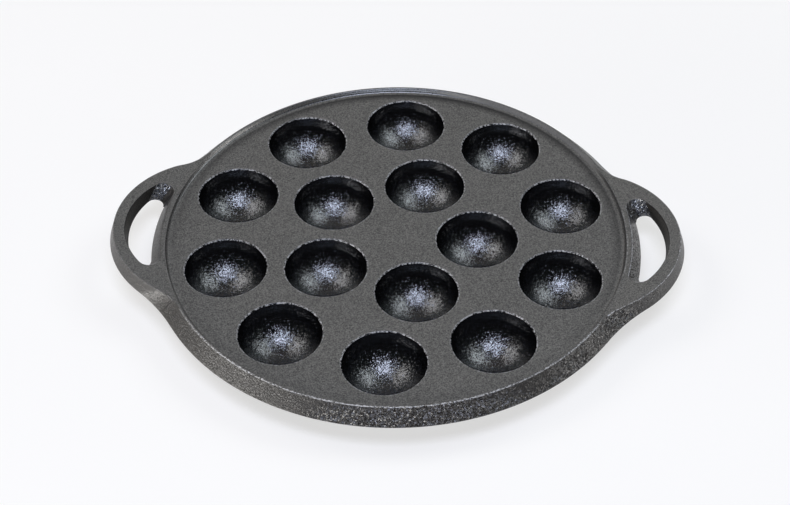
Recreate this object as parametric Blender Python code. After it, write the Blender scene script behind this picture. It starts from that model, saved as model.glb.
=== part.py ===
"""Takoyaki pan: a round iron casting with fifteen hemispherical cups and two loop handles.

The real pan is poured in one piece. Its regions are modelled as separate solids that meet
with a narrow gap: the flat cooking plate, the fifteen cups, the rim and the two handles.
Lengths are in metres, Z points up, X runs through both handles. The pan stands on the small
flats under its cups, at height zero.
"""
import math

import bmesh
import bpy
from mathutils import Matrix

# Fit between neighbouring regions
CLEARANCE = 0.0003

# Cups
MOUTH_RADIUS = 0.0200
CUP_DEPTH = 0.0170
CUP_WALL = 0.0032
FOOT_RADIUS = 0.0045
INNER_CUPS = 5
OUTER_CUPS = 10

# Iron left between the sockets that hold the cups
INNER_WEB = 0.0018
OUTER_WEB = 0.0033
EDGE_WEB = 0.0031

# Plate and rim
PLATE_THICKNESS = 0.0040
LIP_HEIGHT = 0.0022
LIP_RUN = 0.0015
LIP_LAND = 0.0015
WALL_FLARE = 0.0065
SKIRT_DEPTH = 0.0052
SKIRT_WIDTH = 0.0075

# Handles, measured at the top face and at the foot
HANDLE_REACH = 0.0251
HANDLE_RADIUS = 0.0510
HANDLE_FLARE = 0.0022
HANDLE_RISE = 0.0030
RISE_SETBACK = 0.0125
ROOT_FILLET = 0.0300
ROOT_FILLET_FOOT = 0.0900
GRIP_WIDTH = 0.0057
GRIP_DRAFT = 0.0012
HOLE_RADIUS = 0.0405
HOLE_RADIUS_FOOT = 0.0450
HOLE_STANDOFF = 0.0017
HOLE_CORNER = 0.0052
HOLE_CORNER_FOOT = 0.0040

# Facets
CUP_SEGMENTS = 28
RIM_SEGMENTS = 96
INNER_BOWL_STEPS = 5
OUTER_BOWL_STEPS = 4
ARC_STEPS = 36
FILLET_STEPS = 8
CORNER_STEPS = 6
CUTTER_MARGIN = 0.0010
MERGE_DISTANCE = 0.000001

# Places that follow from the sizes
BOWL_RADIUS = (MOUTH_RADIUS**2 + CUP_DEPTH**2) / (2 * CUP_DEPTH)
BOWL_CENTRE = BOWL_RADIUS - CUP_DEPTH
SHELL_RADIUS = BOWL_RADIUS + CUP_WALL
FOOT_DROP = math.sqrt(SHELL_RADIUS**2 - FOOT_RADIUS**2) - BOWL_CENTRE
COLLAR_RADIUS = math.sqrt(SHELL_RADIUS**2 - (BOWL_CENTRE + PLATE_THICKNESS) ** 2)
SOCKET_RADIUS = COLLAR_RADIUS + CLEARANCE
FLOOR_HEIGHT = FOOT_DROP
TOP_HEIGHT = FLOOR_HEIGHT + LIP_HEIGHT
SKIRT_HEIGHT = FLOOR_HEIGHT - SKIRT_DEPTH

INNER_PITCH = math.pi / INNER_CUPS
STAGGER = math.pi / OUTER_CUPS
INNER_RING = (SOCKET_RADIUS + INNER_WEB / 2) / math.sin(INNER_PITCH)
RING_GAP = 2 * SOCKET_RADIUS + OUTER_WEB
OUTER_RING = INNER_RING * math.cos(STAGGER) + math.sqrt(
    RING_GAP**2 - (INNER_RING * math.sin(STAGGER)) ** 2
)

PLATE_RADIUS = OUTER_RING + SOCKET_RADIUS + EDGE_WEB
LIP_INNER_RADIUS = PLATE_RADIUS + CLEARANCE
LIP_CREST_RADIUS = LIP_INNER_RADIUS + LIP_RUN
WALL_TOP_RADIUS = LIP_CREST_RADIUS + LIP_LAND
WALL_FOOT_RADIUS = WALL_TOP_RADIUS + WALL_FLARE
WALL_HEIGHT = LIP_HEIGHT + SKIRT_DEPTH


def between(start, end, share):
    """Value at a share of the way from start to end."""
    return start + (end - start) * share


def arc(centre, radius, start, end, steps):
    """Points on an arc in the plane, both ends included, angles in radians."""
    points = []
    for step in range(steps + 1):
        angle = between(start, end, step / steps)
        points.append((centre[0] + radius * math.cos(angle), centre[1] + radius * math.sin(angle)))
    return points


def iron(name, colour, roughness):
    """Dark cast iron material."""
    material = bpy.data.materials.new(name)
    material.use_nodes = True
    shader = material.node_tree.nodes["Principled BSDF"]
    shader.inputs["Base Color"].default_value = (*colour, 1.0)
    shader.inputs["Roughness"].default_value = roughness
    shader.inputs["Metallic"].default_value = 0.4
    return material


def add_object(name, mesh, material, parent):
    """Link a mesh under its node name."""
    mesh.materials.clear()
    mesh.materials.append(material)
    part = bpy.data.objects.new(name, mesh)
    part.parent = parent
    bpy.context.scene.collection.objects.link(part)
    return part


def finish_mesh(name, shape, sharp_degrees=30):
    """Turn a bmesh into a shaded mesh with its faces pointing out."""
    bmesh.ops.remove_doubles(shape, verts=shape.verts, dist=MERGE_DISTANCE)
    bmesh.ops.recalc_face_normals(shape, faces=shape.faces)
    mesh = bpy.data.meshes.new(name)
    shape.to_mesh(mesh)
    shape.free()
    mesh.shade_smooth()
    mesh.set_sharp_from_angle(angle=math.radians(sharp_degrees))
    return mesh


def turned_mesh(name, profile, segments, closed):
    """Solid turned about Z from points of radius and height."""
    shape = bmesh.new()
    verts = [shape.verts.new((radius, 0, height)) for radius, height in profile]
    edges = [shape.edges.new(pair) for pair in zip(verts, verts[1:])]
    if closed:
        edges.append(shape.edges.new((verts[-1], verts[0])))
    bmesh.ops.spin(
        shape,
        geom=verts + edges,
        cent=(0, 0, 0),
        axis=(0, 0, 1),
        angle=math.tau,
        steps=segments,
        use_merge=True,
    )
    return finish_mesh(name, shape)


def handle_lift(x):
    """Height a handle has gained at a place along X."""
    start = WALL_TOP_RADIUS - RISE_SETBACK
    return HANDLE_RISE * (x - start) / (HANDLE_REACH + RISE_SETBACK)


def lofted_mesh(name, levels):
    """Solid through outlines with equal counts of points, tilted up along X."""
    shape = bmesh.new()
    rings = []
    for height, outline in levels:
        rings.append([shape.verts.new((x, y, height + handle_lift(x))) for x, y in outline])
    for upper, lower in zip(rings, rings[1:]):
        for index in range(len(upper)):
            shape.faces.new((upper[index - 1], upper[index], lower[index], lower[index - 1]))
    for cap in (rings[0], rings[-1]):
        shape.faces.new(cap)
    bmesh.ops.triangulate(shape, faces=shape.faces)
    return finish_mesh(name, shape)


def add_cutter(name, mesh):
    """Guide solid for a Boolean, left out of the finished pan."""
    cutter = bpy.data.objects.new(name, mesh)
    bpy.context.scene.collection.objects.link(cutter)
    cutter.hide_render = True
    cutter.display_type = "WIRE"
    return cutter


def cut(part, cutter):
    """Subtract a guide solid from a part."""
    modifier = part.modifiers.new(cutter.name, "BOOLEAN")
    modifier.operation = "DIFFERENCE"
    modifier.solver = "EXACT"
    modifier.object = cutter


def cup_places():
    """Ring radius and angle of every cup, the inner ring first."""
    places = []
    for index in range(INNER_CUPS):
        places.append((INNER_RING, math.tau * index / INNER_CUPS))
    for index in range(OUTER_CUPS):
        places.append((OUTER_RING, STAGGER + math.tau * index / OUTER_CUPS))
    return places


def bowl_profile():
    """Half section of a cup, from the bottom of the bowl round to the centre of its foot."""
    profile = [(0, FLOOR_HEIGHT - CUP_DEPTH)]
    mouth_angle = math.atan2(MOUTH_RADIUS, BOWL_CENTRE)
    for step in range(1, INNER_BOWL_STEPS + 1):
        angle = mouth_angle * step / INNER_BOWL_STEPS
        height = FLOOR_HEIGHT + BOWL_CENTRE - BOWL_RADIUS * math.cos(angle)
        profile.append((BOWL_RADIUS * math.sin(angle), height))
    profile.append((COLLAR_RADIUS, FLOOR_HEIGHT))
    collar_angle = math.atan2(COLLAR_RADIUS, BOWL_CENTRE + PLATE_THICKNESS)
    foot_angle = math.asin(FOOT_RADIUS / SHELL_RADIUS)
    for step in range(OUTER_BOWL_STEPS + 1):
        angle = between(collar_angle, foot_angle, step / OUTER_BOWL_STEPS)
        height = FLOOR_HEIGHT + BOWL_CENTRE - SHELL_RADIUS * math.cos(angle)
        profile.append((SHELL_RADIUS * math.sin(angle), height))
    profile.append((0, 0))
    return profile


def add_cups(material, parent):
    """One cup in each socket of the plate."""
    mesh = turned_mesh("cup", bowl_profile(), CUP_SEGMENTS, closed=False)
    for index, (ring, angle) in enumerate(cup_places(), start=1):
        cup = add_object(f"cup_{index:02d}", mesh, material, parent)
        cup.location = (ring * math.cos(angle), ring * math.sin(angle), 0)
        cup.rotation_euler = (0, 0, angle)


def add_plate(material, parent):
    """Flat cooking plate with a socket for every cup."""
    bottom = FLOOR_HEIGHT - PLATE_THICKNESS
    profile = [(0, FLOOR_HEIGHT), (PLATE_RADIUS, FLOOR_HEIGHT), (PLATE_RADIUS, bottom), (0, bottom)]
    plate = add_object(
        "cooking_plate", turned_mesh("cooking_plate", profile, RIM_SEGMENTS, closed=False), material, parent
    )
    sockets = bmesh.new()
    for ring, angle in cup_places():
        drill = bmesh.ops.create_cone(
            sockets,
            cap_ends=True,
            segments=CUP_SEGMENTS,
            radius1=SOCKET_RADIUS,
            radius2=SOCKET_RADIUS,
            depth=PLATE_THICKNESS + 2 * CUTTER_MARGIN,
        )["verts"]
        # The first corner of the turned cups lies on X, that of the drill on Y
        turn = Matrix.Rotation(angle - math.pi / 2, 3, "Z")
        bmesh.ops.rotate(sockets, verts=drill, cent=(0, 0, 0), matrix=turn)
        centre = (ring * math.cos(angle), ring * math.sin(angle), FLOOR_HEIGHT - PLATE_THICKNESS / 2)
        bmesh.ops.translate(sockets, verts=drill, vec=centre)
    cut(plate, add_cutter("socket_cutter", finish_mesh("socket_cutter", sockets)))


def add_rim(material, parent):
    """Low lip with a wall that spreads out towards its foot."""
    plate_bottom = FLOOR_HEIGHT - PLATE_THICKNESS
    step = plate_bottom - SKIRT_HEIGHT
    skirt_inner = max(WALL_FOOT_RADIUS - SKIRT_WIDTH, LIP_INNER_RADIUS + step)
    profile = [
        (LIP_INNER_RADIUS, plate_bottom),
        (LIP_INNER_RADIUS, FLOOR_HEIGHT),
        (LIP_CREST_RADIUS, TOP_HEIGHT),
        (WALL_TOP_RADIUS, TOP_HEIGHT),
        (WALL_FOOT_RADIUS, SKIRT_HEIGHT),
        (skirt_inner, SKIRT_HEIGHT),
        (skirt_inner - step, plate_bottom),
    ]
    mesh = turned_mesh("rim", remove_repeats(profile), RIM_SEGMENTS, closed=True)
    add_object("rim", mesh, material, parent)


def remove_repeats(profile):
    """Closed profile without points that coincide with the one before."""
    kept = []
    for index, point in enumerate(profile):
        if math.dist(point, profile[index - 1]) > MERGE_DISTANCE:
            kept.append(point)
    return kept


def crossing(reach, centre, radius):
    """Point at a reach from the origin and at a radius from a centre on X."""
    x = (reach**2 - radius**2 + centre**2) / (2 * centre)
    return x, math.sqrt(reach**2 - x**2)


def handle_outline(share):
    """Outer outline of a handle, from its top face at share 0 to its foot at share 1."""
    wall = between(WALL_TOP_RADIUS, WALL_FOOT_RADIUS, share)
    tip = WALL_TOP_RADIUS + HANDLE_REACH + HANDLE_FLARE * share
    radius = HANDLE_RADIUS + HANDLE_FLARE * share
    centre = tip - radius
    # A fillet touches the pan's wall and the handle's round from outside
    fillet = between(ROOT_FILLET, ROOT_FILLET_FOOT, share)
    x, y = crossing(wall + fillet, centre, radius + fillet)
    wall_angle = math.atan2(y, x)
    round_angle = math.atan2(y, x - centre)
    upper = arc((x, y), fillet, wall_angle + math.pi, round_angle + math.pi, FILLET_STEPS)
    end = arc((centre, 0), radius, round_angle, -round_angle, ARC_STEPS)
    lower = [(x, -y) for x, y in reversed(upper)]
    return upper + end[1:-1] + lower


def hole_outline(share):
    """Outline of the hand hole, open towards the wall of the pan."""
    tip = WALL_TOP_RADIUS + HANDLE_REACH - GRIP_WIDTH - GRIP_DRAFT * share
    radius = between(HOLE_RADIUS, HOLE_RADIUS_FOOT, share)
    centre = tip - radius
    side = between(WALL_TOP_RADIUS + HOLE_STANDOFF, WALL_FOOT_RADIUS, share)
    corner = between(HOLE_CORNER, HOLE_CORNER_FOOT, share)
    # A corner touches the side next to the wall from outside and the hole's round from inside
    x, y = crossing(side + corner, centre, radius - corner)
    wall_angle = math.atan2(y, x)
    round_angle = math.atan2(y, x - centre)
    upper = arc((x, y), corner, wall_angle + math.pi, round_angle, CORNER_STEPS)
    end = arc((centre, 0), radius, round_angle, -round_angle, ARC_STEPS)
    lower = [(x, -y) for x, y in reversed(upper)]
    inside = LIP_INNER_RADIUS - WALL_FLARE
    start = (inside * math.cos(wall_angle), inside * math.sin(wall_angle))
    return [start] + upper + end[1:-1] + lower + [(start[0], -start[1])]


def add_handle(name, turn, seat_cutter, material, parent):
    """Loop handle whose two roots meet the wall of the pan."""
    mesh = lofted_mesh(name, [(TOP_HEIGHT, handle_outline(0)), (SKIRT_HEIGHT, handle_outline(1))])
    handle = add_object(name, mesh, material, parent)
    handle.rotation_euler = (0, 0, turn)
    extra = CUTTER_MARGIN / WALL_HEIGHT
    levels = [
        (TOP_HEIGHT + CUTTER_MARGIN, hole_outline(-extra)),
        (SKIRT_HEIGHT - CUTTER_MARGIN, hole_outline(1 + extra)),
    ]
    hole = add_cutter(f"{name}_hole", lofted_mesh(f"{name}_hole", levels))
    hole.rotation_euler = (0, 0, turn)
    cut(handle, seat_cutter)
    cut(handle, hole)


def add_seat_cutter():
    """Solid of the pan's outer wall, wider by the clearance, that shapes the handle roots."""
    slope = WALL_FLARE / WALL_HEIGHT
    gap = CLEARANCE * math.hypot(1, slope)
    rise = CUTTER_MARGIN * slope
    profile = [
        (0, TOP_HEIGHT + CUTTER_MARGIN),
        (WALL_TOP_RADIUS + gap - rise, TOP_HEIGHT + CUTTER_MARGIN),
        (WALL_FOOT_RADIUS + gap + rise, SKIRT_HEIGHT - CUTTER_MARGIN),
        (0, SKIRT_HEIGHT - CUTTER_MARGIN),
    ]
    return add_cutter("seat_cutter", turned_mesh("seat_cutter", profile, RIM_SEGMENTS, closed=False))


def build():
    """Model the whole pan."""
    for old in list(bpy.data.objects):
        bpy.data.objects.remove(old, do_unlink=True)
    pan = bpy.data.objects.new("takoyaki_pan", None)
    bpy.context.scene.collection.objects.link(pan)
    plate_iron = iron("plate_iron", (0.085, 0.082, 0.078), 0.62)
    cup_iron = iron("cup_iron", (0.030, 0.031, 0.034), 0.45)
    rim_iron = iron("rim_iron", (0.050, 0.048, 0.046), 0.60)
    handle_iron = iron("handle_iron", (0.075, 0.072, 0.068), 0.60)
    add_plate(plate_iron, pan)
    add_cups(cup_iron, pan)
    add_rim(rim_iron, pan)
    seat_cutter = add_seat_cutter()
    add_handle("handle_right", 0, seat_cutter, handle_iron, pan)
    add_handle("handle_left", math.pi, seat_cutter, handle_iron, pan)


build()
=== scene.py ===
"""Takoyaki pan in cast iron, dressed for its photograph.

The plate, the fifteen cups, the rim and the two loop handles are separate pieces of one
casting. Top faces are ground to a dull grey, the bowls are blackened and oiled, and the outer
walls keep the skin of the sand mould. Lengths are in metres.
"""
import math

import bmesh
import bpy
from mathutils import Matrix, Vector


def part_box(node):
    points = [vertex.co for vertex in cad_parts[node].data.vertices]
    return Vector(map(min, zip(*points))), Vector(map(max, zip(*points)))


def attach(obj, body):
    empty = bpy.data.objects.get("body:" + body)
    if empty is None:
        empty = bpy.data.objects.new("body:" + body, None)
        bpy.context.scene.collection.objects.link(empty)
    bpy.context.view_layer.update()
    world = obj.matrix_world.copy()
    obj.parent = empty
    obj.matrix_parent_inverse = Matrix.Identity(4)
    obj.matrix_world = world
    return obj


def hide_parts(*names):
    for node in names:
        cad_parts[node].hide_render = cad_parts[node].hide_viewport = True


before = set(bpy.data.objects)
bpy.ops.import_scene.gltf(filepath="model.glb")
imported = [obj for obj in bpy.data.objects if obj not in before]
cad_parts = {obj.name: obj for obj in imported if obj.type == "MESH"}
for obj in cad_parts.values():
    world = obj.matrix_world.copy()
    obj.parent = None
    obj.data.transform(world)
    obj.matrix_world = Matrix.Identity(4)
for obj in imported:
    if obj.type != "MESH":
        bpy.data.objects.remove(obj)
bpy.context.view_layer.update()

# Heights
PLATE_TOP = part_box("cooking_plate")[1].z
PLATE_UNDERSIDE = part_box("cooking_plate")[0].z
LIP_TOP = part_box("rim")[1].z
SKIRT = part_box("rim")[0].z

# Cups
MOUTH_RADIUS = 0.0200
CUP_DEPTH = 0.0170
CUP_WALL = 0.0032
BOWL_RADIUS = (MOUTH_RADIUS**2 + CUP_DEPTH**2) / (2 * CUP_DEPTH)
BOWL_CENTRE = PLATE_TOP + BOWL_RADIUS - CUP_DEPTH
COLLAR_RADIUS = 0.02245
MOUTH_EDGE = 0.00055
FOOT_CUT = 0.00001
INNER_CUPS = 5
OUTER_CUPS = 10

# Neck of a cup below the plate: where it starts, and each pull's scale and rise
NECK_START = 0.0014
NECK_PULLS = ((1.012, 0.0006), (1.022, 0.0005), (1.035, 0.00035), (1.0, 0.0006))

# Plate and rim
PLATE_RADIUS = 0.1100
LIP_FOOT = 0.1121
LIP_HOLLOW = 0.0010
LIP_CREST = 0.11295
CREST_ROUND = 0.0006
WALL_TOP = 0.1140
WALL_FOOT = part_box("rim")[1].x - 0.00002
SKIRT_WIDTH = 0.0075
SKIRT_SLANT = 0.0012
SKIRT_ROUND = 0.0006
FOOT_ROUND = 0.0005
FOOT_INNER_ROUND = 0.0008
EDGE_ROUND = 0.0006

# Handles: names with FOOT are sizes at the foot, the others at the top face
REACH = 0.0251
TIP_RADIUS = 0.0510
FLARE = 0.0022
RISE = 0.0030
RISE_SETBACK = 0.0125
RISE_START = 0.0090
ROOT_FILLET = 0.0300
ROOT_FILLET_FOOT = 0.0900
GRIP_WIDTH = 0.0057
GRIP_DRAFT = 0.0012
HOLE_RADIUS = 0.0405
HOLE_RADIUS_FOOT = 0.0450
HOLE_STANDOFF = 0.0017
HOLE_CORNER = 0.0052
HOLE_CORNER_FOOT = 0.0040
GRIP_EDGE = 0.0006
ROOT_START = 0.1040
ROOT_BURIED = 0.0012
ROOT_TUCK = 0.00006
TUCK_INSIDE = 0.0004
TUCK_RUN = 0.0012
CUTTER_MARGIN = 0.0040

# Land that widens beside a hand hole, in degrees from the handle's middle
WIDE_LAND = 12.2
WIDE_LAND_END = 14.5

# Steps of the round shapes
PLATE_STEPS = 360
RIM_STEPS = 720
CUP_STEPS = 96
BOWL_RINGS = 64
SHELL_RINGS = 48
PROFILE_STEPS = 5
HANDLE_CORNER_STEPS = 24
HANDLE_TIP_STEPS = 128
BEVEL_STEPS = 4

# Points closer than this are one
MERGE = 0.000002

# Edges that are rounded and shaded sharp, in degrees
SHARP_EDGE = 50
SHARP_SHADING = 35
SHARP_HANDLE_SHADING = 40

# Faces of a rounded edge: how far they turn, in degrees, and how wide they are
EDGE_TURN = (3, 45)
EDGE_FACE = 0.0010

# A face that points up at least this much is level
LEVEL = 0.90
LEVEL_RIM = 0.93
LEVEL_CUP = 0.97

# Faces by their direction: walls that point away from the pan, and ends of a hand hole
OUTER_WALL = 0.2
HOLE_END = 0.6

# Faces of a cup: depth of the ring level with the plate, and how far the bowl's finish goes
RING_DEPTH = 0.0003
BOWL_MARGIN = 0.0005
BOWL_DOWNWARDS = -0.2

# Worn edges with a painted highlight: where most, in degrees about the pan's axis, and the share elsewhere
# and on edges that face in
MOST_WEAR_AND_HIGHLIGHT = 295
LEAST_WEAR_AND_HIGHLIGHT = 0.25
INNER_WEAR_AND_HIGHLIGHT = 0.4
FACES_OUT = 0.05
SIDE_LEAD = 0.05
SIDE_RISE = 0.45

# How far up a face must point to take bare metal and painted highlight, and the rise to the full share
WEAR_AND_HIGHLIGHT_UPWARDS = 0.6
WEAR_AND_HIGHLIGHT_RISE = 0.2
MOUTH_UPWARDS = 0.15

# Painted shade on the plate beside the lip, where the lip keeps the back light off it: its ring, the side
# where most, and how far it climbs the lip
LIP_SHADE_FROM = 0.1050
LIP_SHADE_MOST = 0.1098
LIP_SHADE_TO = 0.1108
LIP_SHADE_SIDE = (0.26, 0.97, 0)
LIP_SHADE_REACH = (-0.05, 0.11)
LIP_SHADE_CLIMB = (0.0004, 0.0008)

# Oil in the bowls: depths where it starts and is full, and depths where the grain calms to the mouth
OIL_START = 0.0055
OIL_FULL = 0.0125
CALM_FROM = 0.0070
CALM_MOST = 0.0020

# Coarse skin of the wall: the side where it is all over, its reach there, and its patches on the right
COARSE_SIDE = (0.19, -0.98, 0)
COARSE_REACH = (0.104, 0.114)
PATCH_SIDE = (-0.02, 0.04)

# Side on which the slope of the lip is dry and dull, and its reach there
DRY_SIDE = (0.60, 0.80, 0)
DRY_REACH = (0.098, 0.109)

# Grains of the finishes, per metre
FINE_GRAIN = 1700
OILED_GRAIN = 1500
CAST_GRAIN = 1900
CAST_SWELL = 1200
CAST_CRYSTALS = 1700
BOWL_GLINTS = 1400
BOWL_CRYSTALS = 2300
EDGE_CHIPS = 1100
GROUND_CHIPS = 900
GROUND_CLOUDS = 60
SKIN_PATCHES = 26

# Depths of the grain and of the cast skin, and how softly the worn metal and painted edge highlight break
# off
GRAIN_DEPTH = 0.00010
BOWL_GRAIN_DEPTH = 0.00020
CAST_DEPTH = 0.00022
CHIP_SPREAD = 0.12

# Bare metal and painted highlight of worn edges, and the colour of the painted shade beside the lip
WORN_PLATE_AND_HIGHLIGHT = (0.40, 0.395, 0.38)
WORN_MOUTH_AND_HIGHLIGHT = (0.34, 0.335, 0.33)
WORN_WALL_AND_HIGHLIGHT = (0.42, 0.41, 0.40)
LIP_SHADE_COLOUR = (0.012, 0.011, 0.010)

# Camera
LENS = 88.84
SENSOR = 36
CAMERA_DISTANCE = 0.950
CAMERA_ELEVATION = 43.64
CAMERA_TURN = 4.15
CAMERA_ROLL = -0.903
AIM = (-0.00046, -0.01146)

# White of the floor near the pan and far away, of the walls in view and in reflections
FLOOR_SIZE = 6
FLOOR_REACH = (0.5, 2.0)
FLOOR_WHITE = (0.62, 0.93)
WALL_WHITE = 0.93
BAND_WHITE = 0.90
BAND_HEIGHT = (0.10, 0.22)
FILL_LIGHT = 0.02


def pick_nothing():
    """Clear the selection."""
    bpy.ops.object.select_all(action="DESELECT")


def pick(piece):
    """Select one piece alone and make it active."""
    pick_nothing()
    piece.select_set(True)
    bpy.context.view_layer.objects.active = piece


def name_piece(name):
    """Name the active piece and its mesh."""
    piece = bpy.context.object
    piece.name = name
    piece.data.name = name
    return piece


def settle(piece):
    """Put the piece's place into its mesh."""
    pick(piece)
    bpy.ops.object.transform_apply(location=True, rotation=True, scale=True)


def apply_all(piece):
    """Apply the piece's modifiers in order."""
    pick(piece)
    for modifier in list(piece.modifiers):
        bpy.ops.object.modifier_apply(modifier=modifier.name)


def smooth(piece, degrees=SHARP_SHADING):
    """Smooth shading with creases where faces meet sharply."""
    pick(piece)
    bpy.ops.object.shade_smooth_by_angle(angle=math.radians(degrees))


def edit(piece, mode):
    """Enter edit mode on one piece with nothing selected."""
    pick(piece)
    bpy.ops.object.mode_set(mode="EDIT")
    bpy.ops.mesh.select_mode(type=mode)
    bpy.ops.mesh.select_all(action="DESELECT")


def leave_edit():
    """Return to object mode."""
    bpy.ops.object.mode_set(mode="OBJECT")


def join(pieces):
    """Join pieces into the first one."""
    pick_nothing()
    for piece in pieces:
        piece.select_set(True)
    bpy.context.view_layer.objects.active = pieces[0]
    bpy.ops.object.join()
    return pieces[0]


def tidy_normals(piece):
    """Merge doubles and point the faces out."""
    edit(piece, "VERT")
    bpy.ops.mesh.select_all(action="SELECT")
    bpy.ops.mesh.remove_doubles(threshold=MERGE)
    bpy.ops.mesh.normals_make_consistent(inside=False)
    leave_edit()


def carve(piece, cutter):
    """Cut a solid out of a piece and throw the cutter away."""
    modifier = piece.modifiers.new("carve", "BOOLEAN")
    modifier.operation = "DIFFERENCE"
    modifier.solver = "EXACT"
    modifier.object = cutter
    apply_all(piece)
    bpy.data.objects.remove(cutter, do_unlink=True)


def round_edges(piece, width):
    """Bevel every sharp edge."""
    modifier = piece.modifiers.new("round_edges", "BEVEL")
    modifier.width = width
    modifier.segments = BEVEL_STEPS
    modifier.limit_method = "ANGLE"
    modifier.angle_limit = math.radians(SHARP_EDGE)
    apply_all(piece)


def cup_places():
    """Centre of every cup, named as in the frame."""
    places = {}
    for index in range(1, INNER_CUPS + OUTER_CUPS + 1):
        node = f"cup_{index:02d}"
        low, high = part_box(node)
        places[node] = ((low.x + high.x) / 2, (low.y + high.y) / 2)
    return places


def between(start, end, share):
    """Value at a share of the way from start to end."""
    return start + (end - start) * share


def ease(share):
    """Smooth step from 0 to 1."""
    share = min(max(share, 0), 1)
    return share * share * (3 - 2 * share)


def make_plate():
    """Flat cooking plate with a round opening for every cup."""
    middle = (PLATE_TOP + PLATE_UNDERSIDE) / 2
    depth = PLATE_TOP - PLATE_UNDERSIDE
    pick_nothing()
    bpy.ops.mesh.primitive_cylinder_add(
        vertices=PLATE_STEPS, radius=PLATE_RADIUS, depth=depth, location=(0, 0, middle)
    )
    plate = name_piece("plate_casting")
    settle(plate)
    drills = []
    for x, y in cup_places().values():
        pick_nothing()
        bpy.ops.mesh.primitive_cylinder_add(
            vertices=CUP_STEPS, radius=COLLAR_RADIUS, depth=3 * depth, location=(x, y, middle)
        )
        drills.append(bpy.context.object)
    carve(plate, join(drills))
    smooth(plate)
    return plate


def cut_level(height, clear_above):
    """Bisect everything in edit mode at a height and drop one side."""
    bpy.ops.mesh.select_all(action="SELECT")
    bpy.ops.mesh.bisect(
        plane_co=(0, 0, height),
        plane_no=(0, 0, 1),
        clear_outer=clear_above,
        clear_inner=not clear_above,
    )


def pull_rim(steps):
    """Extrude the selected edge loop through steps of scale and rise about the cup's axis."""
    for scale, rise in steps:
        bpy.ops.mesh.extrude_edges_move()
        bpy.ops.transform.resize(value=(scale, scale, 1), center_override=(0, 0, 0))
        bpy.ops.transform.translate(value=(0, 0, rise))


def make_bowl():
    """Inside of a cup about the Z axis, with its rounded mouth and its ring of plate."""
    pick_nothing()
    bpy.ops.mesh.primitive_uv_sphere_add(
        segments=CUP_STEPS, ring_count=BOWL_RINGS, radius=BOWL_RADIUS, location=(0, 0, BOWL_CENTRE)
    )
    bowl = name_piece("cup_casting")
    settle(bowl)
    edit(bowl, "EDGE")
    cut_level(PLATE_TOP, clear_above=True)
    pull_rim([(COLLAR_RADIUS / MOUTH_RADIUS, 0)])
    leave_edit()
    round_edges(bowl, MOUTH_EDGE)
    return bowl


def make_shell():
    """Outside of a cup about the Z axis, flat at its foot and flared at its neck."""
    pick_nothing()
    bpy.ops.mesh.primitive_uv_sphere_add(
        segments=CUP_STEPS,
        ring_count=SHELL_RINGS,
        radius=BOWL_RADIUS + CUP_WALL,
        location=(0, 0, BOWL_CENTRE),
    )
    shell = name_piece("cup_shell")
    settle(shell)
    edit(shell, "EDGE")
    bpy.ops.mesh.select_all(action="SELECT")
    bpy.ops.mesh.bisect(plane_co=(0, 0, FOOT_CUT), plane_no=(0, 0, 1), clear_inner=True, use_fill=True)
    cut_level(PLATE_UNDERSIDE - NECK_START, clear_above=True)
    pull_rim(NECK_PULLS)
    leave_edit()
    return shell


def make_cup():
    """One closed cup about the Z axis."""
    cup = join([make_bowl(), make_shell()])
    edit(cup, "EDGE")
    bpy.ops.mesh.select_non_manifold()
    bpy.ops.mesh.bridge_edge_loops()
    leave_edit()
    tidy_normals(cup)
    smooth(cup)
    return cup


def make_cups():
    """A cup in each place of the frame."""
    first = make_cup()
    cups = {}
    for node, (x, y) in cup_places().items():
        cup = first.copy()
        cup.data = first.data.copy()
        cup.name = f"{node}_casting"
        cup.data.name = cup.name
        bpy.context.scene.collection.objects.link(cup)
        cup.location = (x, y, 0)
        settle(cup)
        cups[node] = cup
    bpy.data.objects.remove(first, do_unlink=True)
    return cups


def rounded(corners):
    """Closed profile whose corners, given with a setback, are rounded."""
    points = []
    count = len(corners)
    for index, (x, y, setback) in enumerate(corners):
        here = Vector((x, y))
        if setback == 0:
            points.append((x, y))
            continue
        before = Vector(corners[index - 1][:2])
        after = Vector(corners[(index + 1) % count][:2])
        start = here + (before - here).normalized() * setback
        end = here + (after - here).normalized() * setback
        for step in range(PROFILE_STEPS + 1):
            share = step / PROFILE_STEPS
            point = start.lerp(here, share).lerp(here.lerp(end, share), share)
            points.append((point.x, point.y))
    return points


def turned_ring(name, profile):
    """Closed ring turned about Z by extruding a circle along a profile of radius and height."""
    first_radius, first_height = profile[0]
    pick_nothing()
    bpy.ops.mesh.primitive_circle_add(
        vertices=RIM_STEPS, radius=first_radius, location=(0, 0, first_height)
    )
    ring = name_piece(name)
    settle(ring)
    edit(ring, "EDGE")
    bpy.ops.mesh.select_all(action="SELECT")
    last_radius, last_height = first_radius, first_height
    for radius, height in profile[1:] + profile[:1]:
        bpy.ops.mesh.extrude_edges_move()
        scale = radius / last_radius
        bpy.ops.transform.resize(value=(scale, scale, 1), center_override=(0, 0, 0))
        bpy.ops.transform.translate(value=(0, 0, height - last_height))
        last_radius, last_height = radius, height
    leave_edit()
    tidy_normals(ring)
    return ring


def widen_land(rim):
    """Push the top of the wall out beside the two hand holes, fading to nothing at its foot."""
    for vert in rim.data.vertices:
        radius = math.hypot(vert.co.x, vert.co.y)
        off_middle = math.degrees(math.atan2(abs(vert.co.y), abs(vert.co.x)))
        beside = 1 - ease((off_middle - WIDE_LAND) / (WIDE_LAND_END - WIDE_LAND))
        height = (vert.co.z - SKIRT) / (LIP_TOP - SKIRT)
        outside = ease((radius - LIP_CREST) / (WALL_TOP - EDGE_ROUND - LIP_CREST))
        scale = 1 + HOLE_STANDOFF * beside * min(max(height, 0), 1) * outside / radius
        vert.co.x *= scale
        vert.co.y *= scale


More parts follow.
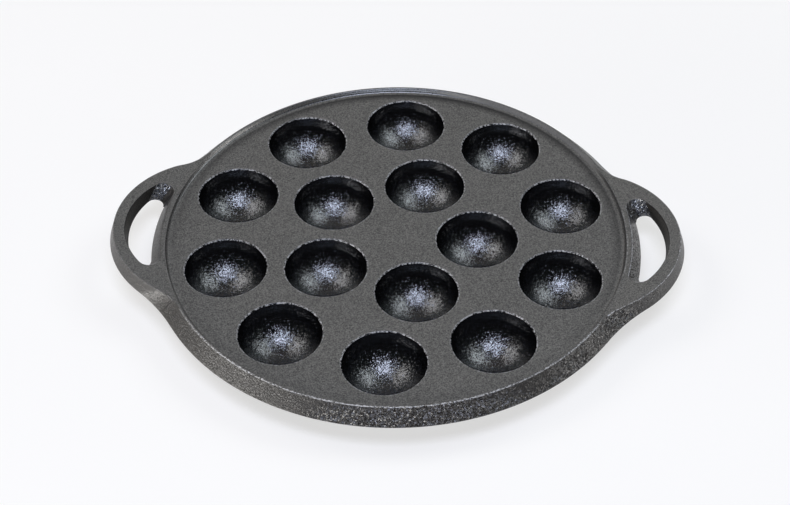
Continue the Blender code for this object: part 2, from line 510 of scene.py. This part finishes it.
def make_rim():
    """Low lip with a hollow at its foot, a narrow land and a wall that spreads downwards."""
    skirt_inner = WALL_FOOT - SKIRT_WIDTH
    corners = [
        (PLATE_RADIUS, PLATE_UNDERSIDE, 0),
        (PLATE_RADIUS, PLATE_TOP, 0),
        (LIP_FOOT, PLATE_TOP, LIP_HOLLOW),
        (LIP_CREST, LIP_TOP, CREST_ROUND),
        (WALL_TOP, LIP_TOP, EDGE_ROUND),
        (WALL_FOOT, SKIRT, FOOT_ROUND),
        (skirt_inner, SKIRT, FOOT_INNER_ROUND),
        (skirt_inner - SKIRT_SLANT, PLATE_UNDERSIDE, SKIRT_ROUND),
    ]
    rim = turned_ring("rim_casting", rounded(corners))
    widen_land(rim)
    smooth(rim)
    return rim


def crossing(reach, centre, radius):
    """Point at a reach from the pan's middle and at a radius from a centre on X."""
    x = (reach**2 - radius**2 + centre**2) / (2 * centre)
    return x, math.sqrt(reach**2 - x**2)


def start_line(name, point):
    """New piece of one vertex, left selected in edit mode."""
    pick_nothing()
    bpy.ops.mesh.primitive_plane_add(size=0.001, location=point)
    line = name_piece(name)
    settle(line)
    edit(line, "VERT")
    bpy.ops.mesh.select_all(action="SELECT")
    bpy.ops.mesh.merge(type="CENTER")
    return line


def handle_line(name, height, wall, corner, tip, radius, outward):
    """Edge of a handle drawn from root to root: a corner, the round of the tip, a corner."""
    centre = tip - radius
    x, y = crossing(wall + corner, centre, radius + corner if outward else radius - corner)
    wall_angle = math.atan2(y, x)
    round_angle = math.atan2(y, x - centre)
    corner_sweep = wall_angle - round_angle if outward else wall_angle - round_angle + math.pi
    out = Vector((math.cos(wall_angle), math.sin(wall_angle), 0))
    line = start_line(name, out * ROOT_START + Vector((0, 0, height)))
    bpy.ops.mesh.extrude_vertices_move(TRANSFORM_OT_translate={"value": out * (wall - ROOT_START)})
    for centre_place, sweep, steps in (
        ((x, y, height), corner_sweep, HANDLE_CORNER_STEPS),
        ((centre, 0, height), 2 * round_angle, HANDLE_TIP_STEPS),
        ((x, -y, height), corner_sweep, HANDLE_CORNER_STEPS),
    ):
        bpy.ops.mesh.spin(
            steps=steps, angle=sweep, center=centre_place, axis=(0, 0, 1), use_auto_merge=False
        )
    inwards = Vector((-out.x, out.y, 0)) * (wall - ROOT_START)
    bpy.ops.mesh.extrude_vertices_move(TRANSFORM_OT_translate={"value": inwards})
    leave_edit()
    bpy.ops.object.vertex_group_add()
    line.vertex_groups[0].name = name
    line.vertex_groups[0].add(range(len(line.data.vertices)), 1, "REPLACE")
    return line


def bridge(piece, first, second):
    """Faces between two named lines of a joined piece."""
    edit(piece, "VERT")
    for name in (first, second):
        bpy.ops.object.vertex_group_set_active(group=name)
        bpy.ops.object.vertex_group_select()
    bpy.ops.mesh.bridge_edge_loops()
    leave_edit()


def handle_lift(x):
    """Rise of a handle's foot towards its tip."""
    return max(RISE * (x - WALL_TOP + RISE_SETBACK) / (REACH + RISE_SETBACK), 0)


def lift_handle(handle):
    """Tilt a handle up towards its tip, its top face leaving the lip in a soft curve."""
    for vert in handle.data.vertices:
        x, y, z = vert.co
        out = math.hypot(x, y) - WALL_TOP
        tuck = ROOT_TUCK * (1 - ease((out + TUCK_INSIDE) / TUCK_RUN))
        top = handle_lift(x) * ease(out / RISE_START) - tuck
        down = (LIP_TOP - z) / (LIP_TOP - SKIRT)
        vert.co.z = z + between(top, handle_lift(x), min(max(down, 0), 1))


def wall_cutter():
    """Solid of the pan inside its wall, as far as the handle roots reach into it."""
    slope = (WALL_FOOT - WALL_TOP) / (LIP_TOP - SKIRT)
    pick_nothing()
    bpy.ops.mesh.primitive_cone_add(
        vertices=RIM_STEPS,
        radius1=WALL_FOOT - ROOT_BURIED + CUTTER_MARGIN * slope,
        radius2=WALL_TOP - ROOT_BURIED - CUTTER_MARGIN * slope,
        depth=LIP_TOP - SKIRT + 2 * CUTTER_MARGIN,
        location=(0, 0, (LIP_TOP + SKIRT) / 2),
    )
    cutter = name_piece("wall_cutter")
    settle(cutter)
    return cutter


def make_handle():
    """Loop handle on +X: four lines from root to root, bridged, rounded and let into the wall."""
    tip = WALL_TOP + REACH
    foot_tip = tip + FLARE
    hole_tip = tip - GRIP_WIDTH
    hole_foot_tip = hole_tip - GRIP_DRAFT
    hole_wall = WALL_TOP + HOLE_STANDOFF
    lines = [
        handle_line("outer_top", LIP_TOP, WALL_TOP, ROOT_FILLET, tip, TIP_RADIUS, True),
        handle_line("outer_foot", SKIRT, WALL_FOOT, ROOT_FILLET_FOOT, foot_tip, TIP_RADIUS + FLARE, True),
        handle_line("hole_foot", SKIRT, WALL_FOOT, HOLE_CORNER_FOOT, hole_foot_tip, HOLE_RADIUS_FOOT, False),
        handle_line("hole_top", LIP_TOP, hole_wall, HOLE_CORNER, hole_tip, HOLE_RADIUS, False),
    ]
    names = [line.name for line in lines]
    handle = join(lines)
    for first, second in zip(names, names[1:] + names[:1]):
        bridge(handle, first, second)
    edit(handle, "EDGE")
    bpy.ops.mesh.select_all(action="SELECT")
    bpy.ops.mesh.fill_holes(sides=4)
    leave_edit()
    tidy_normals(handle)
    handle.vertex_groups.clear()
    round_edges(handle, GRIP_EDGE)
    lift_handle(handle)
    carve(handle, wall_cutter())
    smooth(handle, SHARP_HANDLE_SHADING)
    return handle


def make_handles():
    """The handle and its copy turned to the other side."""
    right = make_handle()
    left = right.copy()
    left.data = right.data.copy()
    bpy.context.scene.collection.objects.link(left)
    left.rotation_euler.z = math.pi
    settle(left)
    for name, handle in (("handle_right", right), ("handle_left", left)):
        handle.name = f"{name}_casting"
        handle.data.name = handle.name
    return {"handle_right": right, "handle_left": left}


def even_shading(piece):
    """Let the large faces set the direction of the shading."""
    modifier = piece.modifiers.new("even_shading", "WEIGHTED_NORMAL")
    modifier.keep_sharp = True
    apply_all(piece)


def mark_wear_and_highlight(piece, share):
    """Attribute that gives the narrow faces of rounded edges their share of bare metal and painted
    highlight.
    """
    shape = bmesh.new()
    shape.from_mesh(piece.data)
    wear_and_highlight_share = []
    for face in shape.faces:
        turned = []
        for line in face.edges:
            turn = math.degrees(line.calc_face_angle_signed(0))
            if EDGE_TURN[0] < turn < EDGE_TURN[1]:
                turned.append((line.verts[0].co + line.verts[1].co) / 2)
        narrow = len(turned) > 1 and (turned[0] - turned[-1]).length < EDGE_FACE
        wear_and_highlight_share.append(share(face) if narrow else 0.0)
    shape.free()
    edge_wear_and_highlight = piece.data.attributes.new("edge_wear_and_highlight", "FLOAT", "FACE")
    edge_wear_and_highlight.data.foreach_set("value", wear_and_highlight_share)


def add_node(tree, kind, **settings):
    """New shader node with some of its settings and inputs set."""
    node = tree.nodes.new(kind)
    for key, value in settings.items():
        if hasattr(node, key):
            setattr(node, key, value)
        else:
            node.inputs[key.replace("_", " ")].default_value = value
    return node


def noise(tree, place, scale, detail=2, roughness=0.6):
    """Noise pattern in the piece's own space."""
    node = add_node(tree, "ShaderNodeTexNoise", Scale=scale, Detail=detail, Roughness=roughness)
    tree.links.new(place, node.inputs["Vector"])
    return node.outputs["Fac"]


def crystals(tree, place, scale):
    """Small cells with a random colour each, like the grains of a casting's skin."""
    node = add_node(tree, "ShaderNodeTexVoronoi", Scale=scale, Randomness=1.0)
    tree.links.new(place, node.inputs["Vector"])
    return node.outputs["Color"]


def tilt_crystals(tree, shader, cells, tilt, base):
    """Give every crystal its own slant, on top of a bump. The tilt is a number or an output."""
    centred = add_node(tree, "ShaderNodeVectorMath", operation="SUBTRACT")
    centred.inputs[1].default_value = (0.5, 0.5, 0.5)
    tree.links.new(cells, centred.inputs[0])
    slant = add_node(tree, "ShaderNodeVectorMath", operation="SCALE")
    if isinstance(tilt, float):
        slant.inputs["Scale"].default_value = tilt
    else:
        tree.links.new(tilt, slant.inputs["Scale"])
    tree.links.new(centred.outputs["Vector"], slant.inputs[0])
    total = add_node(tree, "ShaderNodeVectorMath", operation="ADD")
    tree.links.new(base, total.inputs[0])
    tree.links.new(slant.outputs["Vector"], total.inputs[1])
    unit = add_node(tree, "ShaderNodeVectorMath", operation="NORMALIZE")
    tree.links.new(total.outputs["Vector"], unit.inputs[0])
    tree.links.new(unit.outputs["Vector"], shader.inputs["Normal"])
    return unit.outputs["Vector"]


def ramp(tree, factor, stops):
    """Colour ramp from a list of positions and colours."""
    node = add_node(tree, "ShaderNodeValToRGB")
    elements = node.color_ramp.elements
    while len(elements) < len(stops):
        elements.new(0.5)
    for element, (position, colour) in zip(elements, stops):
        element.position = position
        element.color = (*colour, 1)
    tree.links.new(factor, node.inputs["Fac"])
    return node.outputs["Color"]


def remap(tree, factor, low, high, to_low, to_high):
    """Map a range of a factor to a range of values."""
    node = add_node(tree, "ShaderNodeMapRange")
    node.inputs["From Min"].default_value = low
    node.inputs["From Max"].default_value = high
    node.inputs["To Min"].default_value = to_low
    node.inputs["To Max"].default_value = to_high
    tree.links.new(factor, node.inputs["Value"])
    return node.outputs["Result"]


def calculate(tree, operation, first, second):
    """Sum, product, larger or smaller of two values, each an output or a number."""
    node = add_node(tree, "ShaderNodeMath", operation=operation)
    for socket, value in zip(node.inputs, (first, second)):
        if isinstance(value, (int, float)):
            socket.default_value = value
        else:
            tree.links.new(value, socket)
    return node.outputs["Value"]


def mix_colour(tree, blend, factor, first, second):
    """Mix two colours, the factor given as a number or an output."""
    node = add_node(tree, "ShaderNodeMix", data_type="RGBA", blend_type=blend)
    sockets = [node.inputs[0], node.inputs[6], node.inputs[7]]
    for socket, value in zip(sockets, (factor, first, second)):
        if isinstance(value, (int, float)):
            socket.default_value = value
        elif isinstance(value, tuple):
            socket.default_value = (*value, 1)
        else:
            tree.links.new(value, socket)
    return node.outputs[2]


def new_iron(name):
    """Material with its shader and object coordinates."""
    material = bpy.data.materials.new(name)
    material.use_nodes = True
    tree = material.node_tree
    shader = tree.nodes["Principled BSDF"]
    place = add_node(tree, "ShaderNodeTexCoord").outputs["Object"]
    return material, tree, shader, place


def side_of(tree, place, side):
    """How far a point lies towards a side of the pan."""
    node = add_node(tree, "ShaderNodeVectorMath", operation="DOT_PRODUCT")
    node.inputs[1].default_value = side
    tree.links.new(place, node.inputs[0])
    return node.outputs["Value"]


def part_of(tree, place, axis):
    """One coordinate of a point."""
    node = add_node(tree, "ShaderNodeSeparateXYZ")
    tree.links.new(place, node.inputs["Vector"])
    return node.outputs[axis]


def length_of(tree, vector):
    """Length of a vector."""
    node = add_node(tree, "ShaderNodeVectorMath", operation="LENGTH")
    tree.links.new(vector, node.inputs[0])
    return node.outputs["Value"]


def paint(tree, shader, colour, wear_and_highlight_share=None, metal=None):
    """Colour the shader, with bare metal and a painted highlight where edges are marked."""
    if wear_and_highlight_share is not None:
        colour = mix_colour(tree, "MIX", wear_and_highlight_share, colour, metal)
    tree.links.new(colour, shader.inputs["Base Color"])


def add_bump(tree, shader, height, strength, distance):
    """Bump from a height pattern."""
    node = add_node(tree, "ShaderNodeBump", Strength=strength, Distance=distance)
    tree.links.new(height, node.inputs["Height"])
    tree.links.new(node.outputs["Normal"], shader.inputs["Normal"])
    return node.outputs["Normal"]


def wear_and_highlight_line(tree, place, scale, threshold):
    """Broken line of bright metal along the marked edges, from 0 to 1: partly bare metal, partly painted
    highlight.
    """
    edge_wear_and_highlight = add_node(tree, "ShaderNodeAttribute", attribute_name="edge_wear_and_highlight").outputs["Fac"]
    chips = remap(tree, noise(tree, place, scale), threshold, threshold + CHIP_SPREAD, 0, 1)
    return calculate(tree, "MULTIPLY", edge_wear_and_highlight, chips)


def painted_lip_shade(tree, place):
    """Painted shade: a darker ring on the plate beside the lip, strongest at the back, where the lip keeps
    the back light off the plate.
    """
    level = add_node(tree, "ShaderNodeVectorMath", operation="MULTIPLY")
    level.inputs[1].default_value = (1, 1, 0)
    tree.links.new(place, level.inputs[0])
    reach = length_of(tree, level.outputs["Vector"])
    rising = remap(tree, reach, LIP_SHADE_FROM, LIP_SHADE_MOST, 0, 1)
    falling = remap(tree, reach, LIP_SHADE_MOST, LIP_SHADE_TO, 1, 0.1)
    ring = calculate(tree, "MINIMUM", rising, falling)
    share = remap(tree, side_of(tree, place, LIP_SHADE_SIDE), *LIP_SHADE_REACH, 0.12, 0.95)
    low, high = LIP_SHADE_CLIMB
    on_plate = remap(tree, part_of(tree, place, "Z"), PLATE_TOP + low, PLATE_TOP + high, 1, 0)
    return calculate(tree, "MULTIPLY", calculate(tree, "MULTIPLY", ring, share), on_plate)


def ground_iron():
    """Flat ground faces: dark warm grey with a fine even grain."""
    material, tree, shader, place = new_iron("ground_iron")
    grain = noise(tree, place, FINE_GRAIN)
    speckle = ramp(tree, grain, [(0.30, (0.031, 0.030, 0.027)), (0.70, (0.182, 0.174, 0.154))])
    clouds = noise(tree, place, GROUND_CLOUDS, detail=4)
    shade = ramp(tree, clouds, [(0.3, (0.90, 0.90, 0.90)), (0.7, (1.0, 1.0, 1.0))])
    colour = mix_colour(tree, "MULTIPLY", 1.0, speckle, shade)
    # Painted shade beside the lip, darkest at the back
    colour = mix_colour(tree, "MIX", painted_lip_shade(tree, place), colour, LIP_SHADE_COLOUR)
    # Bright edges: bare metal and painted highlight
    paint(tree, shader, colour, wear_and_highlight_line(tree, place, GROUND_CHIPS, 0.50), WORN_PLATE_AND_HIGHLIGHT)
    tree.links.new(remap(tree, grain, 0.3, 0.7, 0.70, 0.58), shader.inputs["Roughness"])
    shader.inputs["IOR"].default_value = 1.4
    add_bump(tree, shader, grain, 0.6, GRAIN_DEPTH)
    return material


def bowl_iron():
    """Blackened bowls with a sparkling grain, calm at the mouth, the oil thickest at their bottoms."""
    material, tree, shader, place = new_iron("bowl_iron")
    grain = noise(tree, place, FINE_GRAIN)
    colour = ramp(tree, grain, [(0.35, (0.0002, 0.0002, 0.0003)), (0.75, (0.002, 0.0018, 0.0018))])
    # Bright mouth edge: bare metal and painted highlight
    paint(tree, shader, colour, wear_and_highlight_line(tree, place, EDGE_CHIPS, 0.46), WORN_MOUTH_AND_HIGHLIGHT)
    glints = remap(tree, noise(tree, place, BOWL_GLINTS, 1, 0.5), 0.54, 0.68, 0, 1)
    tree.links.new(remap(tree, glints, 0, 1, 0.21, 0.14), shader.inputs["Roughness"])
    shader.inputs["IOR"].default_value = 1.45
    shader.inputs["Specular Tint"].default_value = (0.88, 0.92, 1.0, 1)
    height = part_of(tree, place, "Z")
    oil = remap(tree, height, PLATE_TOP - OIL_FULL, PLATE_TOP - OIL_START, 1, 0)
    tree.links.new(oil, shader.inputs["Coat Weight"])
    shader.inputs["Coat Roughness"].default_value = 0.20
    shader.inputs["Coat IOR"].default_value = 1.85
    swell = add_bump(tree, shader, grain, 0.6, BOWL_GRAIN_DEPTH)
    calm = remap(tree, height, PLATE_TOP - CALM_FROM, PLATE_TOP - CALM_MOST, 1, 0.3)
    slant = calculate(tree, "MULTIPLY", remap(tree, glints, 0, 1, 0.26, 0.9), calm)
    slanted = tilt_crystals(tree, shader, crystals(tree, place, BOWL_CRYSTALS), slant, swell)
    tree.links.new(slanted, shader.inputs["Coat Normal"])
    return material


def oiled_iron():
    """Inner slope of the lip: blackened and oiled, but dry and dull on one side."""
    material, tree, shader, place = new_iron("oiled_iron")
    grain = noise(tree, place, OILED_GRAIN)
    colour = ramp(tree, grain, [(0.35, (0.003, 0.003, 0.003)), (0.70, (0.012, 0.011, 0.011))])
    paint(tree, shader, colour)
    oiled_skin = remap(tree, grain, 0.35, 0.7, 0.34, 0.24)
    dryness = remap(tree, side_of(tree, place, DRY_SIDE), *DRY_REACH, 0, 0.45)
    tree.links.new(calculate(tree, "ADD", oiled_skin, dryness), shader.inputs["Roughness"])
    shader.inputs["IOR"].default_value = 2.1
    add_bump(tree, shader, grain, 0.6, GRAIN_DEPTH)
    return material


def coarse_skin(tree, place):
    """Share of coarse skin on the walls: all over at the front, and in patches on the right."""
    all_over = remap(tree, side_of(tree, place, COARSE_SIDE), *COARSE_REACH, 0, 1)
    patches = remap(tree, noise(tree, place, SKIN_PATCHES, 2, 0.5), 0.50, 0.60, 0, 0.8)
    on_right = remap(tree, part_of(tree, place, "X"), *PATCH_SIDE, 0.1, 1)
    return calculate(tree, "MAXIMUM", all_over, calculate(tree, "MULTIPLY", patches, on_right))


def cast_tone(tree, place, dark, light):
    """Mottled tone of sand-cast iron."""
    return ramp(tree, noise(tree, place, CAST_GRAIN, 1.5), [(0.36, dark), (0.66, light)])


def cast_swell(tree, shader, place):
    """Pebbled surface of sand-cast iron."""
    return add_bump(tree, shader, noise(tree, place, CAST_SWELL), 0.8, CAST_DEPTH)


def sand_cast_iron():
    """Outer walls as they left the mould: near black, with a skin that is coarse in places."""
    material, tree, shader, place = new_iron("sand_cast_iron")
    tone = cast_tone(tree, place, (0.004, 0.0035, 0.003), (0.036, 0.031, 0.026))
    # Bright edges: bare metal and painted highlight
    paint(tree, shader, tone, wear_and_highlight_line(tree, place, EDGE_CHIPS, 0.40), WORN_WALL_AND_HIGHLIGHT)
    skin = coarse_skin(tree, place)
    tree.links.new(remap(tree, skin, 0, 1, 0.40, 0.25), shader.inputs["Roughness"])
    shader.inputs["IOR"].default_value = 1.6
    slant = remap(tree, skin, 0, 1, 0.14, 1.0)
    grains = crystals(tree, place, CAST_CRYSTALS)
    tilt_crystals(tree, shader, grains, slant, cast_swell(tree, shader, place))
    return material


def coarse_sheen_iron():
    """Ends of the hand holes: near black, with a skin of coarse grains all over, and a lighter bluish tone
    that is a painted reflection of the bright floor.
    """
    material, tree, shader, place = new_iron("coarse_sheen_iron")
    # Painted reflection: a lighter, bluer tone than the other cast faces
    paint(tree, shader, cast_tone(tree, place, (0.010, 0.010, 0.011), (0.080, 0.084, 0.095)))
    shader.inputs["Roughness"].default_value = 0.25
    shader.inputs["IOR"].default_value = 2.1
    grains = crystals(tree, place, CAST_CRYSTALS)
    tilt_crystals(tree, shader, grains, 1.2, cast_swell(tree, shader, place))
    return material


def painted_shade_iron():
    """Painted shade: dead black for the handles' undersides and the hand holes' walls across from the pan,
    where the iron lies in shade.
    """
    material, tree, shader, place = new_iron("painted_shade_iron")
    paint(tree, shader, cast_tone(tree, place, (0.004, 0.0035, 0.003), (0.022, 0.020, 0.018)))
    shader.inputs["Roughness"].default_value = 0.6
    shader.inputs["IOR"].default_value = 1.25
    cast_swell(tree, shader, place)
    return material


def upper_wear_and_highlight(face):
    """Full share of bare metal and painted highlight on edges that face up."""
    return 1.0 if face.normal.z > MOUTH_UPWARDS else 0.0


def outward_wear_and_highlight(face):
    """Bare metal and painted highlight on edges that face up and away from the pan's axis, most of it at the
    front right.
    """
    middle = face.calc_center_median()
    outwards = face.normal.x * middle.x + face.normal.y * middle.y
    most = ease((face.normal.z - WEAR_AND_HIGHLIGHT_UPWARDS) / WEAR_AND_HIGHLIGHT_RISE)
    if outwards < FACES_OUT * middle.length:
        most *= INNER_WEAR_AND_HIGHLIGHT
    side = math.cos(math.atan2(middle.y, middle.x) - math.radians(MOST_WEAR_AND_HIGHLIGHT))
    return most * between(LEAST_WEAR_AND_HIGHLIGHT, 1.0, ease((side + SIDE_LEAD) / SIDE_RISE))


def dress(piece, materials, choose, wear_and_highlight_share=upper_wear_and_highlight):
    """Even a piece's shading, mark its edges for bare metal and painted highlight, and give every face one
    of the materials.
    """
    even_shading(piece)
    mark_wear_and_highlight(piece, wear_and_highlight_share)
    piece.data.materials.clear()
    for material in materials:
        piece.data.materials.append(material)
    for face in piece.data.polygons:
        face.material_index = choose(face)


def ground_or_cast(face):
    """Slot 0 for the ground top faces, slot 1 for the rest."""
    return 0 if face.normal.z > LEVEL else 1


def rim_finish(face):
    """Slot 2 for the inner slope of the lip, else slot 0 for the level faces and 1 for the rest."""
    reach = math.hypot(face.center.x, face.center.y)
    on_slope = LIP_FOOT - LIP_HOLLOW < reach < LIP_CREST + CREST_ROUND and face.center.z > PLATE_TOP
    return 2 if on_slope and face.normal.z < LEVEL_RIM else ground_or_cast(face)


def handle_finish(face):
    """Slot 2, painted shade, below and on the hand hole's wall across from the pan, 3 at its ends, with a
    painted sheen, else as the pan.
    """
    outwards = face.normal.x * face.center.x + face.normal.y * face.center.y
    if face.normal.z > LEVEL or outwards > OUTER_WALL * face.center.length:
        return ground_or_cast(face)
    return 3 if abs(face.normal.y) > HOLE_END else 2


def cup_finish(face):
    """Slot 0 for the ring level with the plate, 1 for the bowl and 2 for the outside."""
    depth = PLATE_TOP - face.center.z
    if face.normal.z > LEVEL_CUP and depth < RING_DEPTH:
        return 0
    return 1 if face.normal.z > BOWL_DOWNWARDS and depth < CUP_DEPTH + BOWL_MARGIN else 2


def hand_over(piece, node):
    """The piece rides on the pan's body and stands for its node, which is hidden."""
    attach(piece, "root")
    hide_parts(node)


def make_floor():
    """White tabletop that stays white in view, as far as the walls, and keeps the pan's shadow."""
    pick_nothing()
    bpy.ops.mesh.primitive_plane_add(size=FLOOR_SIZE, location=(0, 0, 0))
    floor = name_piece("floor")
    material = bpy.data.materials.new("white_cloth")
    material.use_nodes = True
    tree = material.node_tree
    shader = tree.nodes["Principled BSDF"]
    shader.inputs["Base Color"].default_value = (0.35, 0.34, 0.325, 1)
    shader.inputs["Roughness"].default_value = 0.9
    shader.inputs["Specular IOR Level"].default_value = 0.0
    shader.inputs["Emission Color"].default_value = (1, 1, 1, 1)
    place = add_node(tree, "ShaderNodeTexCoord").outputs["Object"]
    white = remap(tree, length_of(tree, place), *FLOOR_REACH, *FLOOR_WHITE)
    shown = calculate(tree, "MULTIPLY", seen_directly(tree), white)
    tree.links.new(shown, shader.inputs["Emission Strength"])
    floor.data.materials.append(material)


def seen_directly(tree):
    """1 for rays from the camera, off a glossy face or through a clear one, else 0."""
    path = add_node(tree, "ShaderNodeLightPath")
    glossy = calculate(tree, "MAXIMUM", path.outputs["Is Camera Ray"], path.outputs["Is Glossy Ray"])
    return calculate(tree, "MAXIMUM", glossy, path.outputs["Is Transmission Ray"])


def studio_walls(tree):
    """White walls in view, a white band above the floor in reflections, and little light of their own."""
    path = add_node(tree, "ShaderNodeLightPath")
    ray = add_node(tree, "ShaderNodeTexCoord").outputs["Generated"]
    band = remap(tree, part_of(tree, ray, "Z"), *BAND_HEIGHT, BAND_WHITE, 0.0)
    mirrored = calculate(tree, "MAXIMUM", path.outputs["Is Glossy Ray"], path.outputs["Is Transmission Ray"])
    in_view = calculate(tree, "MULTIPLY", path.outputs["Is Camera Ray"], WALL_WHITE)
    shown = calculate(tree, "MAXIMUM", in_view, calculate(tree, "MULTIPLY", mirrored, band))
    return calculate(tree, "ADD", shown, FILL_LIGHT)


def add_softbox(name, direction, distance, size, watts, colour):
    """Oblong softbox that looks at the pan from a direction, as seen in the photograph."""
    turn = Matrix.Rotation(math.radians(CAMERA_TURN), 3, "Z")
    towards = (turn @ Vector(direction)).normalized()
    light = bpy.data.lights.new(name, "AREA")
    light.shape = "RECTANGLE"
    light.size, light.size_y = size
    light.energy = watts
    light.color = colour
    lamp = bpy.data.objects.new(name, light)
    bpy.context.scene.collection.objects.link(lamp)
    lamp.visible_camera = False
    lamp.location = towards * distance
    lamp.rotation_mode = "QUATERNION"
    lamp.rotation_quaternion = towards.to_track_quat("Z", "Y")


def light_scene():
    """Plain soft studio light: four boxes above, and three low ones for the walls and the lip."""
    add_softbox("overhead", (0.0, -0.32, 0.94), 1.6, (0.85, 0.55), 16.5, (0.75, 0.81, 1.0))
    add_softbox("right", (0.612, 0.30, 0.72), 1.6, (0.9, 0.7), 7.2, (0.90, 0.97, 1.0))
    add_softbox("left", (-0.64, 0.20, 0.73), 1.6, (0.9, 0.7), 6.3, (1.0, 0.98, 0.97))
    add_softbox("back", (0.0, 0.77, 0.64), 2.0, (2.6, 2.4), 3.8, (1.0, 0.87, 0.78))
    add_softbox("low_left", (-0.85, -0.525, 0.10), 1.6, (1.40, 0.20), 24.0, (1.0, 0.98, 0.95))
    add_softbox("low_right", (0.985, -0.13, 0.115), 1.6, (0.8, 0.22), 5.0, (1.0, 0.98, 0.96))
    add_softbox("low_front", (0.0, -0.998, 0.072), 1.6, (1.1, 0.19), 5.0, (0.70, 0.80, 1.0))
    world = bpy.data.worlds.new("studio")
    bpy.context.scene.world = world
    world.use_nodes = True
    tree = world.node_tree
    background = tree.nodes["Background"]
    background.inputs["Color"].default_value = (1.0, 0.99, 0.98, 1)
    tree.links.new(studio_walls(tree), background.inputs["Strength"])


def set_camera():
    """Camera at the photograph's angle."""
    data = bpy.data.cameras.new("camera")
    data.lens = LENS
    data.sensor_width = SENSOR
    camera = bpy.data.objects.new("camera", data)
    bpy.context.scene.collection.objects.link(camera)
    tilt = math.radians(90 - CAMERA_ELEVATION)
    turn = Matrix.Rotation(math.radians(CAMERA_TURN), 4, "Z")
    look = Matrix.Rotation(tilt, 4, "X") @ Matrix.Rotation(math.radians(CAMERA_ROLL), 4, "Z")
    aim = Matrix.Translation((AIM[0], AIM[1], 0))
    back = Matrix.Translation(Matrix.Rotation(tilt, 3, "X") @ Vector((0, 0, CAMERA_DISTANCE)))
    camera.matrix_world = Matrix.Translation((0, 0, PLATE_TOP)) @ turn @ aim @ back @ look
    bpy.context.scene.camera = camera


bpy.context.scene.view_settings.view_transform = "Standard"
set_camera()
light_scene()
make_floor()

ground = ground_iron()
bowl_finish = bowl_iron()
sand_cast = sand_cast_iron()
oiled = oiled_iron()
coarse = coarse_sheen_iron()
painted_shade = painted_shade_iron()

plate = make_plate()
dress(plate, [ground, sand_cast], ground_or_cast)
hand_over(plate, "cooking_plate")

for node, cup in make_cups().items():
    dress(cup, [ground, bowl_finish, sand_cast], cup_finish)
    hand_over(cup, node)

rim = make_rim()
dress(rim, [ground, sand_cast, oiled], rim_finish, outward_wear_and_highlight)
hand_over(rim, "rim")

for node, handle in make_handles().items():
    # Slot 2 is painted shade, and slot 3 carries a painted sheen
    dress(handle, [ground, sand_cast, painted_shade, coarse], handle_finish, outward_wear_and_highlight)
    hand_over(handle, node)
